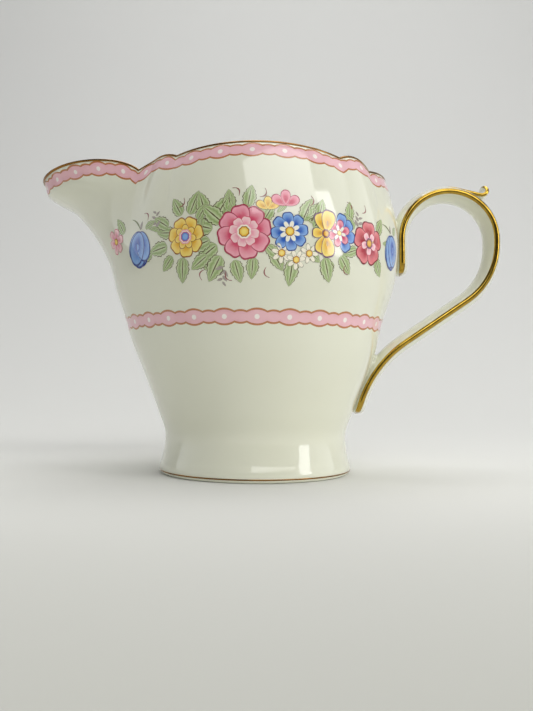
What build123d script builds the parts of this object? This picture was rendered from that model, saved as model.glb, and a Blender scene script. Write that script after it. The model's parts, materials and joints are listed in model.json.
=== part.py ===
from build123d import *
from math import atan2, cos, degrees, exp, radians, sin, sqrt, tan
import os

# A porcelain cream jug. The origin is the centre of the foot, on the table, with +Z up.
# The spout points along -X and the handle along +X. All sizes are in millimetres.

# ---- Driving dimensions: the body's outline from the table up
jug_height = 82.0        # table to the crest of the front and back lobes of the rim
foot_radius = 26.2
foot_edge_height = 0.8   # the foot's lowest edge is rounded over this height
foot_edge_inset = 0.35
waist_radius = 25.0      # narrowest place, just above the foot
waist_height = 11.0
collar_radius = 34.8     # where the printed waist border runs
collar_height = 41.0
belly_radius = 39.2      # widest place of the bowl
belly_height = 60.0
rim_radius = 35.0        # at the crest of the lobes

# ---- Walls and foot
wall = 2.2
floor_top = 7.6          # inside floor of the bowl
floor_rounding = 5.0     # height over which the corner between floor and wall is rounded
recess_depth = 4.6       # hollow under the foot
foot_ring_width = 3.2
recess_taper = 0.9

# ---- Lobes of the plan and of the rim
broad_lobe_half = 35.5   # degrees each side of front, back, handle and spout
crease_depth = 1.3       # how far a crease lies inside the lobes at the rim
narrow_lobe_rise = 0.6   # how far a narrow lobe stands out of its two creases
crease_start = 50.0      # the creases fade out below this height
front_notch_drop = 1.7   # crest of the rim down to the notches beside front and back
side_notch_drop = 2.7    # and down to the notches beside spout and handle
handle_lobe_drop = 1.0
narrow_lobe_crown = 1.6
scallop_start = 58.0     # rings of the wall follow the scalloped rim above this height

# ---- Spout
spout_reach = 22.2       # added to the body's radius at the tip
spout_tip_height = 79.3
spout_crest = 2.3        # the lip's crest beside the tip, above the tip
spout_end_drop = 0.8     # the lip's end at the crease, below the tip
spout_start = 52.0       # the spout leaves the wall above this height
spout_half = 42.6        # degrees each side of the spout's centre
spout_nose = 3.2         # the tip's blunt nose stands out of the flare by this much
spout_nose_drop = 3.9    # tip down to the middle of the nose
spout_nose_spread = 2.6  # falls off over this height, above and below
spout_nose_half = 34.0   # degrees each side
keel_height = 1.2        # soft ridge that runs down the front of the wall under the spout
keel_start = 28.0

# ---- Gilding
rim_gilding_height = 0.45
rim_gilding_rounding = 0.4
foot_gilding_height = 0.8
foot_gilding_depth = 0.15
handle_gilding_width = 0.3

# ---- Handle: a strap of lens section on a question-mark path in the XZ plane
strap_width = 10.5
strap_thickness = 4.4
strap_nose_radius = 0.8
handle_reach = 27.1      # belly to the strap's centre line at its furthest
handle_top_drop = 3.8    # crest of the rim down to the strap's centre line
upper_end_height = 54.9
lower_end_height = 16.2
upper_stand_off = 1.4    # wall to the strap's centre line at the upper end
crown_stand_off = 0.6
lower_stand_off = 1.2
bend_height = 53.5       # where the two outer runs would meet
tail_corner_height = 29.4
tail_corner_sink = 0.5   # that corner of the path lies inside the wall by this much
crown_radius = 13.2
bend_share = 0.87        # the bend's arc takes this share of the straight run above it
tail_share = 0.88        # the tail's arc takes this share of the last run

# ---- Thumb rest: a leaf that leaves the crown and curls up
rest_angle = 62.0        # degrees round the crown's outer arc
rest_width = 7.6
rest_thickness = 2.0
rest_nose_radius = 0.5
rest_run = 2.4
rest_curl_radius = 2.4
rest_curl_turn = 150.0

# ---- Joints between handle and body
slip_thickness = 0.5     # the luting slip holds the strap this far off the wall
slip_width = 7.6
upper_slip_top = 71.0
lower_slip_top = 33.0
slip_end_inset = 0.8     # the slip stops this short of the strap's ends

rings = 30               # rings of the wall between table and rim

lip_level = jug_height - side_notch_drop    # mean level that the rings rise to
broad_centres = (0, 90, 180, 270)           # handle, back, spout, front
narrow_half = 45.0 - broad_lobe_half

profile = [
    (0.0, foot_radius - foot_edge_inset),
    (foot_edge_height, foot_radius),
    (0.45 * waist_height, waist_radius + 0.45 * (foot_radius - waist_radius)),
    (waist_height, waist_radius),
    (waist_height + 6.0, waist_radius + 2.0),
    (collar_height - 7.0, collar_radius - 1.6),
    (collar_height, collar_radius),
    (belly_height - 8.0, belly_radius - 1.0),
    (belly_height, belly_radius),
    (0.4 * belly_height + 0.6 * jug_height, 0.4 * belly_radius + 0.6 * rim_radius + 1.1),
    (jug_height, rim_radius),
    (jug_height + 6.0, rim_radius - 2.6),
]


def ease(value):
    """Smooth step from 0 to 1."""
    value = min(max(value, 0.0), 1.0)
    return value * value * (3.0 - 2.0 * value)


def profile_slope(index):
    if index in (0, len(profile) - 1):
        low, high = profile[max(index - 1, 0)], profile[min(index + 1, len(profile) - 1)]
        return (high[1] - low[1]) / (high[0] - low[0])
    (z0, r0), (z1, r1), (z2, r2) = profile[index - 1:index + 2]
    before, after = (r1 - r0) / (z1 - z0), (r2 - r1) / (z2 - z1)
    return (before * (z2 - z1) + after * (z1 - z0)) / (z2 - z0)


def profile_radius(height):
    """Radius of the body through the middle of a broad lobe: a cubic through the profile."""
    index = 0
    while index < len(profile) - 2 and height > profile[index + 1][0]:
        index += 1
    (z0, r0), (z1, r1) = profile[index], profile[index + 1]
    span = z1 - z0
    t = (height - z0) / span
    return (r0 * (1 + 2 * t) * (1 - t) ** 2 + r1 * t * t * (3 - 2 * t)
            + span * profile_slope(index) * t * (1 - t) ** 2
            - span * profile_slope(index + 1) * t * t * (1 - t))


def off_centre(angle):
    """Degrees from the middle of the nearest broad lobe, and which lobe that is."""
    index = round((angle % 360) / 90) % 4
    turn = (angle - broad_centres[index] + 180) % 360 - 180
    return abs(turn), index


def lip_height(angle):
    """Height of the scalloped rim."""
    turn, index = off_centre(angle)
    share = turn / broad_lobe_half
    if share <= 1.0 and index == 2:
        fall = 2 * spout_crest + spout_end_drop + 2 * sqrt(spout_crest * (spout_crest + spout_end_drop))
        rise = fall - spout_end_drop
        return spout_tip_height + rise * share ** 2 - fall * share ** 4
    if share <= 1.0:
        crest = jug_height - (handle_lobe_drop if index == 0 else 0.0)
        notch = jug_height - (side_notch_drop if index == 0 else front_notch_drop)
        return crest - (crest - notch) * share ** 2
    across = (turn - broad_lobe_half) / (2 * narrow_half)
    front_share = across if index in (0, 2) else 1.0 - across
    if 90 < angle % 360 < 270:
        side_notch = spout_tip_height - spout_end_drop
    else:
        side_notch = jug_height - side_notch_drop
    front_notch = jug_height - front_notch_drop
    base = side_notch + (front_notch - side_notch) * front_share
    return base + narrow_lobe_crown * (1.0 - (2 * across - 1.0) ** 2)


def outline_radius(angle, height):
    """Radius of the outer wall with its lobes, creases, spout and keel."""
    turn, index = off_centre(angle)
    depth = crease_depth * ease((height - crease_start) / (jug_height - crease_start))
    if turn <= broad_lobe_half:
        inward = depth * (turn / broad_lobe_half) ** 2
    else:
        inward = depth - depth / crease_depth * narrow_lobe_rise * (
            1.0 - ((45.0 - turn) / narrow_half) ** 2)
    radius = profile_radius(height) - inward
    spout_turn = abs(angle % 360 - 180) / spout_half
    if spout_turn < 1.0:
        flare = max(height - spout_start, 0.0) / (spout_tip_height - spout_start)
        keel = keel_height * ease((height - keel_start) / (collar_height - keel_start))
        radius += (keel + spout_reach * flare ** 2) * (1.0 - spout_turn ** 2) ** 2
        nose_turn = min(spout_turn * spout_half / spout_nose_half, 1.0)
        below = (spout_tip_height - spout_nose_drop - height) / spout_nose_spread
        radius += spout_nose * exp(-below ** 2) * (1.0 - nose_turn ** 2) ** 2
    return radius


def wall_point(angle, height, inset):
    """Point of the wall, moved level and square to the outline by inset."""
    step = 0.5
    before, here, after = (
        Vector(outline_radius(a, height) * cos(radians(a)), outline_radius(a, height) * sin(radians(a)))
        for a in (angle - step, angle, angle + step)
    )
    along = (after - before).normalized()
    return here + Vector(-along.Y, along.X) * inset + Vector(0, 0, height)


def ring_edges(height_at, inset):
    """One ring of the wall as eight spline edges, which meet in the creases."""
    edges = []
    for centre in range(0, 360, 45):
        half, steps = (broad_lobe_half, 12) if centre % 90 == 0 else (narrow_half, 4)
        angles = [centre - half + 2 * half * k / steps for k in range(steps + 1)]
        edges.append(Edge.make_spline([wall_point(a, height_at(a), inset) for a in angles]))
    return edges


def rising_level(level):
    """Height round a ring: level low down, and parallel to the scalloped lip at the rim."""
    share = max(level - scallop_start, 0.0) / (lip_level - scallop_start)
    return lambda angle: level + (lip_height(angle) - rim_gilding_height - lip_level) * share ** 2


def wall_shell(levels, inset_at):
    """Smooth skin through the rings at the given levels."""
    return Shell.make_loft([Wire(ring_edges(rising_level(z), inset_at(z))) for z in levels])


def rim_of(shell, top):
    """The shell's eight end edges at its top or bottom, in order round the axis."""
    ends = [face.edges().sort_by(lambda edge: edge.center().Z)[-1 if top else 0] for face in shell.faces()]
    return sorted(ends, key=lambda edge: round(degrees(atan2(edge.center().Y, edge.center().X))) % 360)


def ruled_ring(lower, upper):
    return [Face.make_surface_from_curves(a, b) for a, b in zip(lower, upper)]


def plain_loft(inset, low, high):
    """Filled body with level ends, used to trim what meets the wall."""
    levels = [low + (high - low) * k / rings for k in range(rings + 1)]
    return Solid.make_loft([Wire(ring_edges(lambda a, z=z: z, inset)) for z in levels])


def inner_inset(level):
    """Distance of the inside skin from the outside: the wall, and the rounded floor corner."""
    share = min(max((level - floor_top) / floor_rounding, 0.0), 1.0)
    return wall + floor_rounding * 0.8 * (1.0 - share) ** 3


def cast_body():
    """The casting, with the skins of its lip for the gilding to stand on."""
    outer_levels = [0.0, foot_edge_height] + [lip_level * k / rings for k in range(1, rings + 1)]
    inner_levels = [floor_top + (lip_level - floor_top) * k / rings for k in range(rings + 1)]
    outer = wall_shell(outer_levels, lambda z: 0.0)
    inner = wall_shell(inner_levels, inner_inset)
    outer_lip, inner_lip = rim_of(outer, True), rim_of(inner, True)
    lip = ruled_ring(outer_lip, inner_lip)
    ends = [Face(Wire(rim_of(outer, False))), Face(Wire(rim_of(inner, False)))]
    solid = Solid(Shell([*outer.faces(), *inner.faces(), *lip, *ends]))
    ring_inside = foot_radius - foot_ring_width
    recess = Pos(0, 0, recess_depth / 2) * Cone(ring_inside, ring_inside - recess_taper, recess_depth)
    return solid - recess, outer_lip, inner_lip


def gilded_lip(outer_lip, inner_lip):
    """Rounded band of gold on top of the lip, on the casting's own lip edges."""
    def ring(inset, drop):
        edges = ring_edges(lambda angle: lip_height(angle) - drop, inset)
        return [edge.reversed() for edge in edges]    # the skins' own edges run clockwise

    shoulder_drop = 0.3 * rim_gilding_rounding
    chain = [
        outer_lip,
        ring(0.3 * rim_gilding_rounding, shoulder_drop),
        ring(rim_gilding_rounding + 0.2, 0.0),
        ring(wall - rim_gilding_rounding - 0.2, 0.0),
        ring(wall - 0.3 * rim_gilding_rounding, shoulder_drop),
        inner_lip,
    ]
    faces = ruled_ring(inner_lip, outer_lip)
    for lower, upper in zip(chain, chain[1:]):
        faces += ruled_ring(lower, upper)
    return Solid(Shell(faces))


def lens_face(half_width, thickness, nose, low, high):
    """Lens section with round noses between the widths low and high; local X across, Y through."""
    flank = ((half_width - nose) ** 2 + thickness ** 2 / 4 - nose ** 2) / (thickness - 2 * nose)
    lens = Circle(flank).face().moved(Location((0, thickness / 2 - flank))) & Circle(flank).face().moved(
        Location((0, flank - thickness / 2)))
    reach = sqrt(flank ** 2 - (flank - thickness / 2) ** 2)
    touch = (half_width - nose) * flank / (flank - nose)
    noses = [Pos(side * (half_width - nose), 0) * Circle(nose) for side in (-1, 1)]
    section = (lens & Rectangle(2 * touch, thickness)) + noses[0] + noses[1]
    band = Pos((low + high) / 2, 0) * Rectangle(high - low, 2 * reach)
    return (section & band).face()


def handle_path():
    """Centre line of the strap: straight runs and tangent arcs, tied to the wall."""
    crown_x = belly_radius + crown_stand_off
    reach_x = belly_radius + handle_reach
    top = jug_height - handle_top_drop
    corners = [
        (profile_radius(upper_end_height) + upper_stand_off, 0, upper_end_height),
        (crown_x, 0, top),
        (reach_x, 0, top),
        (reach_x, 0, bend_height),
        (profile_radius(tail_corner_height) - tail_corner_sink, 0, tail_corner_height),
        (profile_radius(lower_end_height) + lower_stand_off, 0, lower_end_height),
    ]
    runs = [Vector(*end) - Vector(*start) for start, end in zip(corners, corners[1:])]
    bend_radius = bend_share * (runs[2].length - crown_radius) / tan(radians(runs[2].get_angle(runs[3]) / 2))
    tail_radius = tail_share * runs[4].length / tan(radians(runs[3].get_angle(runs[4]) / 2))
    return FilletPolyline(*corners, radius=[crown_radius, crown_radius, bend_radius, tail_radius])


def along(path, section):
    """The section swept along the path; its local X lies along the jug's Y."""
    start = Plane(origin=path @ 0, x_dir=(0, 1, 0), z_dir=path % 0)
    return sweep(start * section, path=path)


def thumb_rest():
    """Leaf that leaves the strap's crown on a tangent and curls up and back."""
    centre_x = belly_radius + handle_reach - crown_radius
    centre_z = jug_height - handle_top_drop - crown_radius
    turn = radians(rest_angle)
    root = Vector(centre_x + crown_radius * cos(turn), 0, centre_z + crown_radius * sin(turn))
    heading = Vector(sin(turn), 0, -cos(turn))
    run = Line(root, root + heading * rest_run)
    side = Plane(origin=run @ 1, x_dir=heading, z_dir=(0, -1, 0))
    curl = side * JernArc((0, 0), (1, 0), rest_curl_radius, rest_curl_turn)
    path = Wire([run.edge(), curl.edge()])
    half = rest_width / 2
    return along(path, lens_face(half, rest_thickness, rest_nose_radius, -half, half))


def slip_pad(low, high, body, core, strap):
    """Luting slip that fills the space between the strap and the wall, from low to high."""
    reach = belly_radius + handle_reach / 2
    slot = SlotOverall(high - low, slip_width)
    across = Plane(origin=(0, 0, (low + high) / 2), x_dir=(0, 0, 1), z_dir=(1, 0, 0)) * slot
    block = extrude(across, amount=reach)
    return (block - core - body - strap).solids().sort_by(Axis.X)[0]


casting, outer_lip, inner_lip = cast_body()
foot_band = Pos(0, 0, foot_edge_height + foot_gilding_height / 2) * (
    Cylinder(foot_radius + 1, foot_gilding_height)
    - Cylinder(foot_radius - foot_gilding_depth, foot_gilding_height))

half = strap_width / 2
edge = half - handle_gilding_width
path = handle_path()
stand_off = plain_loft(-slip_thickness, 1.0, lip_level - 1.0)
core = plain_loft(wall / 2, 1.0, lip_level - 1.0)
strap = along(path, lens_face(half, strap_thickness, strap_nose_radius, -edge, edge))
handle = strap + thumb_rest() - stand_off
body = casting - foot_band

parts = {
    "body": body,
    "handle": handle,
    "upper_handle_joint": slip_pad(
        upper_end_height + slip_end_inset, upper_slip_top, body, core, handle),
    "lower_handle_joint": slip_pad(
        lower_end_height + slip_end_inset, lower_slip_top, body, core, handle),
    "rim_gilding": gilded_lip(outer_lip, inner_lip),
    "foot_gilding": casting & foot_band,
}
for name, low, high in (("handle_gilding_left", -half, -edge), ("handle_gilding_right", edge, half)):
    parts[name] = along(path, lens_face(half, strap_thickness, strap_nose_radius, low, high)) - stand_off

os.makedirs("parts", exist_ok=True)
for name, shape in parts.items():
    export_step(shape, f"parts/{name}.step")
    print(name, round(shape.volume, 1), "mm3", len(shape.solids()), "solid")
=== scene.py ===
# %% [markdown]
# # A porcelain cream jug in Blender
# The jug was cast in a mould, glazed, printed with borders and sprays of flowers, and gilded on
# its rim, foot and handle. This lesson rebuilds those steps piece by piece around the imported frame.

# %% Load the frame
import json
from math import cos, pi, radians, sin, sqrt, tan

import bpy
import numpy as np
from mathutils import Euler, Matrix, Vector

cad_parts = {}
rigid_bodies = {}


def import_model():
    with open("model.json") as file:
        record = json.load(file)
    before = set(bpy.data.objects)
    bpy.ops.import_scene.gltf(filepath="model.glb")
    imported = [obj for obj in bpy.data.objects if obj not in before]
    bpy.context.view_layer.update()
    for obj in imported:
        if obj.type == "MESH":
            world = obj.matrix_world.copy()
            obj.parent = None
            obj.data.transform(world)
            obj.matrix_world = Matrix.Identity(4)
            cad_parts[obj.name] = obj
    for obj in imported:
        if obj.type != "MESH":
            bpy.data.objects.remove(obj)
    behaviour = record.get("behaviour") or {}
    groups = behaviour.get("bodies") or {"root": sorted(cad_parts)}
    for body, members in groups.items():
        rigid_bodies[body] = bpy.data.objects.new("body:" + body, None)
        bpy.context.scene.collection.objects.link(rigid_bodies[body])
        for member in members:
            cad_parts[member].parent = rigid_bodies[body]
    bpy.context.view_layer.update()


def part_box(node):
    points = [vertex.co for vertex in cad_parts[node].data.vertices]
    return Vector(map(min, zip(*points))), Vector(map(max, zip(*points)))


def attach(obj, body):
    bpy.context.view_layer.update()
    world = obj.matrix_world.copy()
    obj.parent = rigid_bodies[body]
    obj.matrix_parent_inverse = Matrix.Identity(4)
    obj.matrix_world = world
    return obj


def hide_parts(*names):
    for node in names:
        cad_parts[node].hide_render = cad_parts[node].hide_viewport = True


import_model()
MM = 0.001

# %% [markdown]
# ## The body's sizes
# These are the sizes that the mould was made to, in millimetres, with the table at 0, the spout
# toward -X and the handle toward +X. The rim's height and the foot are read from the frame.

# %% Sizes of the body
jug_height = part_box("rim_gilding")[1].z / MM
foot_gold_low, foot_gold_high = (corner.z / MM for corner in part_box("foot_gilding"))
handle_low, handle_high = (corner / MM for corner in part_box("handle"))
strap_width = 2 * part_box("handle_gilding_right")[1].y / MM

foot_radius, foot_edge_inset = 26.2, 0.35
waist_radius, waist_height = 25.0, 11.0
collar_radius, collar_height = 34.8, 41.0
belly_radius, belly_height = 39.2, 60.0
rim_radius = 35.0
wall, floor_top, floor_rounding = 2.2, 7.6, 5.0
recess_depth, foot_ring_width, recess_taper = 4.6, 3.2, 0.9
lobe_half, crease_depth, lobe_rise, crease_start = 35.5, 1.3, 0.6, 50.0
front_notch, side_notch, handle_drop, lobe_crown = 1.7, 2.7, 1.0, 1.6
scallop_start = 58.0
spout_reach, spout_tip, spout_crest, spout_end = 22.2, 79.3, 2.3, 0.8
spout_start, spout_half = 52.0, 42.6
nose_out, nose_drop, nose_spread, nose_half = 3.2, 3.9, 2.6, 34.0
keel_height, keel_start = 1.2, 28.0
rim_gold_height = 0.45
narrow_half = 45.0 - lobe_half
lip_level = jug_height - side_notch
print("rim at", round(jug_height, 2), "mm, foot band", round(foot_gold_low, 2), round(foot_gold_high, 2))

# %% [markdown]
# ## The wall as a formula
# A mould for such a jug is a plain turned shape with four broad lobes pressed out of it, a narrow
# lobe between each pair, and a spout. So the wall is worked out the same way: a turned profile,
# less the creases, plus the spout's flare and its blunt nose. Every later piece sits on it.

# %% Turned profile
heights, radii = np.array([
    (0.0, foot_radius - foot_edge_inset), (0.8, foot_radius),
    (0.45 * waist_height, waist_radius + 0.45 * (foot_radius - waist_radius)),
    (waist_height, waist_radius), (waist_height + 6, waist_radius + 2),
    (collar_height - 7, collar_radius - 1.6), (collar_height, collar_radius),
    (belly_height - 8, belly_radius - 1), (belly_height, belly_radius),
    (0.4 * belly_height + 0.6 * jug_height, 0.4 * belly_radius + 0.6 * rim_radius + 1.1),
    (jug_height, rim_radius), (jug_height + 6, rim_radius - 2.6)]).T
steps, rises = np.diff(heights), np.diff(radii) / np.diff(heights)
slopes = np.concatenate((
    rises[:1], (rises[:-1] * steps[1:] + rises[1:] * steps[:-1]) / (steps[1:] + steps[:-1]), rises[-1:]))


def ease(value):
    value = np.clip(value, 0, 1)
    return value * value * (3 - 2 * value)


def profile_radius(height):
    """Radius through the middle of a broad lobe: a smooth cubic through the profile."""
    i = np.clip(np.searchsorted(heights, height, side="left") - 1, 0, len(steps) - 1)
    span = steps[i]
    t = (height - heights[i]) / span
    return (radii[i] * (1 + 2 * t) * (1 - t) ** 2 + radii[i + 1] * t * t * (3 - 2 * t)
            + span * slopes[i] * t * (1 - t) ** 2 - span * slopes[i + 1] * t * t * (1 - t))


# %% Lobes, lip and spout
def off_centre(angle):
    """Degrees from the nearest broad lobe's middle, and which lobe: handle, back, spout, front."""
    index = np.round(np.mod(angle, 360) / 90).astype(int) % 4
    return np.abs(np.mod(angle - 90 * index + 180, 360) - 180), index


def lip_height(angle):
    turn, index = off_centre(angle)
    share = turn / lobe_half
    fall = 2 * spout_crest + spout_end + 2 * sqrt(spout_crest * (spout_crest + spout_end))
    spout_lip = spout_tip + (fall - spout_end) * share ** 2 - fall * share ** 4
    crest = jug_height - np.where(index == 0, handle_drop, 0.0)
    notch = jug_height - np.where(index == 0, side_notch, front_notch)
    broad = np.where(index == 2, spout_lip, crest - (crest - notch) * share ** 2)
    across = (turn - lobe_half) / (2 * narrow_half)
    front_share = np.where(index % 2 == 0, across, 1 - across)
    spout_side = (np.mod(angle, 360) > 90) & (np.mod(angle, 360) < 270)
    side = np.where(spout_side, spout_tip - spout_end, jug_height - side_notch)
    base = side + (jug_height - front_notch - side) * front_share
    return np.where(share <= 1, broad, base + lobe_crown * (1 - (2 * across - 1) ** 2))


def outline_radius(angle, height):
    turn, _ = off_centre(angle)
    depth = crease_depth * ease((height - crease_start) / (jug_height - crease_start))
    narrow = depth - depth / crease_depth * lobe_rise * (1 - ((45 - turn) / narrow_half) ** 2)
    radius = profile_radius(height) - np.where(turn <= lobe_half, depth * (turn / lobe_half) ** 2, narrow)
    spout_turn = np.minimum(np.abs(np.mod(angle, 360) - 180) / spout_half, 1)
    flare = np.maximum(height - spout_start, 0) / (spout_tip - spout_start)
    keel = keel_height * ease((height - keel_start) / (collar_height - keel_start))
    nose_turn = np.minimum(spout_turn * spout_half / nose_half, 1)
    below = (spout_tip - nose_drop - height) / nose_spread
    return (radius + (keel + spout_reach * flare ** 2) * (1 - spout_turn ** 2) ** 2
            + nose_out * np.exp(-below ** 2) * (1 - nose_turn ** 2) ** 2)


def wall_point(angle, height, inset):
    """Points of the wall in mm, moved level and square to the outline by inset."""
    angle, height, inset = np.broadcast_arrays(*(np.asarray(v, float) for v in (angle, height, inset)))

    def at(a):
        r = outline_radius(a, height)
        return np.stack((r * np.cos(np.radians(a)), r * np.sin(np.radians(a))), -1)

    along = at(angle + 0.5) - at(angle - 0.5)
    along /= np.linalg.norm(along, axis=-1, keepdims=True)
    level = at(angle) + np.stack((-along[..., 1], along[..., 0]), -1) * inset[..., None]
    return np.concatenate((level, height[..., None]), -1)


print("belly", round(float(outline_radius(270.0, belly_height)), 2), "mm, spout tip",
      round(float(outline_radius(180.0, spout_tip)), 2), "mm from the axis")

# %% [markdown]
# ## A way to pull up a shape
# Nearly every piece here is a ring that grows: the wall from the foot up, the handle from one end
# to the other, a petal from its edge inward. A circle is added, its edge is extruded once for each
# further ring, and each ring is then set on the piece's own formula. One helper does that, merges
# the ends where a ring shrinks to a point, and turns all faces outwards.

# %% Pull up rings
def only(piece):
    bpy.ops.object.select_all(action="DESELECT")
    piece.select_set(True)
    bpy.context.view_layer.objects.active = piece


def pull(name, rows, outward=True):
    """A tube of rings: rows[ring, column] are its points in mm. Also returns each point's place."""
    rows = np.asarray(rows, float)
    rings, columns = rows.shape[:2]
    bpy.ops.object.select_all(action="DESELECT")
    bpy.ops.mesh.primitive_circle_add(vertices=columns, radius=1, fill_type="NOTHING")
    piece = bpy.context.object
    piece.name = piece.data.name = name
    bpy.ops.object.mode_set(mode="EDIT")
    bpy.ops.mesh.select_all(action="SELECT")
    for _ in range(rings - 1):
        bpy.ops.mesh.extrude_region_move(TRANSFORM_OT_translate={"value": (0, 0, 1)})
    bpy.ops.object.mode_set(mode="OBJECT")
    mesh = piece.data
    spot = np.empty(len(mesh.vertices) * 3, np.float32)
    mesh.vertices.foreach_get("co", spot)
    spot = spot.reshape(-1, 3)
    ring = np.round(spot[:, 2]).astype(int)
    column = np.round(np.arctan2(spot[:, 1], spot[:, 0]) * columns / (2 * pi)).astype(int) % columns
    mesh.vertices.foreach_set("co", (rows[ring, column] * MM).astype(np.float32).ravel())
    mesh.polygons.foreach_set("use_smooth", [True] * len(mesh.polygons))
    return piece, ring, column


def unroll(piece, ring, column, name, u, v):
    """A UV map whose values are given at [ring, column], with one column more for the seam."""
    mesh = piece.data
    columns = u.shape[1] - 1
    corner = np.empty(len(mesh.loops), int)
    mesh.loops.foreach_get("vertex_index", corner)
    row, col = ring[corner].reshape(-1, 4), column[corner].reshape(-1, 4)
    wraps = (col.max(1) == columns - 1) & (col.min(1) == 0)
    col = np.where(wraps[:, None] & (col == 0), columns, col)
    layer = mesh.uv_layers.new(name=name)
    layer.data.foreach_set("uv", np.stack((u[row, col], v[row, col]), -1).astype(np.float32).ravel())


def close(piece, merge=1e-6, recalculate=True):
    """Merges doubled points and turns the faces outwards."""
    only(piece)
    bpy.ops.object.mode_set(mode="EDIT")
    bpy.ops.mesh.select_all(action="SELECT")
    bpy.ops.mesh.remove_doubles(threshold=merge)
    if recalculate:
        bpy.ops.mesh.normals_make_consistent(inside=False)
    bpy.ops.object.mode_set(mode="OBJECT")
    return piece


# %% [markdown]
# ## Finishes as expressions
# Porcelain's look is layers: a warm white body under a thin clear glaze, print under that glaze
# and fired gold on top. Node trees for these are long, so a socket is wrapped in a small class
# and the sums are written as ordinary expressions.

# %% Sockets that add up
class Shade:
    """A node's output that can be added, multiplied and compared like a number."""

    def __init__(self, tree, socket):
        self.tree, self.socket = tree, socket

    def sum(self, operation, *others, flip=False):
        values = [self, *others]
        return node(self.tree, "ShaderNodeMath", {"operation": operation}, *(values[::-1] if flip else values))

    def __add__(self, other): return self.sum("ADD", other)
    def __radd__(self, other): return self.sum("ADD", other)
    def __sub__(self, other): return self.sum("SUBTRACT", other)
    def __rsub__(self, other): return self.sum("SUBTRACT", other, flip=True)
    def __mul__(self, other): return self.sum("MULTIPLY", other)
    def __rmul__(self, other): return self.sum("MULTIPLY", other)
    def __truediv__(self, other): return self.sum("DIVIDE", other)
    def __pow__(self, other): return self.sum("POWER", other)
    def __lt__(self, other): return self.sum("LESS_THAN", other)
    def __gt__(self, other): return self.sum("GREATER_THAN", other)
    def __abs__(self): return self.sum("ABSOLUTE")
    def max(self, other): return self.sum("MAXIMUM", other)
    def min(self, other): return self.sum("MINIMUM", other)
    def fraction(self): return self.sum("FRACT")
    def root(self): return self.sum("SQRT")


def node(tree, kind, settings, *values, out=0, **named):
    """Any node: its settings first, then its sockets in order or by name. Returns one output."""
    made = tree.nodes.new(kind)
    for key, value in settings.items():
        setattr(made, key, value)
    for key, value in [*enumerate(values), *((k.replace("_", " "), v) for k, v in named.items())]:
        if isinstance(value, Shade):
            tree.links.new(value.socket, made.inputs[key])
        else:
            made.inputs[key].default_value = value
    return Shade(tree, made.outputs[out])


def blend_colour(tree, share, low, high):
    """Colour that goes from low to high as share goes from 0 to 1."""
    made = tree.nodes.new("ShaderNodeMix")
    made.data_type = "RGBA"
    for key, value in ((0, share), (6, low), (7, high)):
        if isinstance(value, Shade):
            tree.links.new(value.socket, made.inputs[key])
        else:
            made.inputs[key].default_value = value
    return Shade(tree, made.outputs[2])


def finish(name, surface, **constants):
    """A material: surface(tree) gives the linked sockets of its Principled shader."""
    material = bpy.data.materials.new(name)
    material.use_nodes = True
    tree = material.node_tree
    tree.nodes.clear()
    linked = surface(tree)
    shader = node(tree, "ShaderNodeBsdfPrincipled", {}, **linked, **constants)
    output = tree.nodes.new("ShaderNodeOutputMaterial")
    tree.links.new(shader.socket, output.inputs["Surface"])
    return material


def tint(red, green, blue):
    """Colour as it looks on a screen, 0 to 255, turned into light."""
    return (*(((v / 255 + 0.055) / 1.055) ** 2.4 if v > 10 else v / 3295 for v in (red, green, blue)), 1.0)


# %% [markdown]
# ## The glaze
# The glaze is ivory rather than white, and never quite even: it pools a little and carries a few
# brown kiln specks. Noise in the object's own space gives both. The waviness is a very faint bump,
# which is enough to bend the edge of a reflection as hand-dipped glaze does.

# %% Ivory glaze
ivory, ivory_deep, speck_brown = tint(233, 234, 217), tint(226, 226, 204), tint(150, 105, 70)


def ivory_surface(tree):
    place = node(tree, "ShaderNodeTexCoord", {}, out=3)
    pooled = node(tree, "ShaderNodeTexNoise", {}, Vector=place, Scale=28.0, Detail=2.0)
    base = blend_colour(tree, pooled, ivory, ivory_deep)
    grain = node(tree, "ShaderNodeTexVoronoi", {}, Vector=place, Scale=95.0, Randomness=1.0)
    rare = node(tree, "ShaderNodeTexNoise", {}, Vector=place, Scale=61.0, Detail=0.0)
    speck = (grain < 0.032) * (rare > 0.66)
    waves = node(tree, "ShaderNodeTexNoise", {}, Vector=place, Scale=75.0, Detail=1.0)
    ripple = node(tree, "ShaderNodeBump", {}, Strength=0.05, Distance=0.0012, Height=waves)
    return blend_colour(tree, speck * 0.7, base, speck_brown), ripple


def plain_glaze(tree):
    colour, ripple = ivory_surface(tree)
    return {"Base_Color": colour, "Normal": ripple}


gloss = {"Roughness": 0.09, "IOR": 1.52, "Coat_Weight": 0.35, "Coat_Roughness": 0.03}
glaze = finish("ivory_glaze", plain_glaze, **gloss)

# %% [markdown]
# ## The printed borders
# Two bands of a printed border run round the jug: under the rim and at the collar. Each is a pink
# ribbon with an ochre outline that swells once for a long scallop and once for a short one, and a
# white dot in each long one. The same drawing serves both, from two UV maps that count its repeats
# along the band and millimetres across it.

# %% Border drawing
pink, pink_deep, ochre = tint(238, 190, 197), tint(220, 158, 170), tint(184, 108, 50)
dot_white = tint(250, 244, 236)
line_width = 0.48


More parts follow.
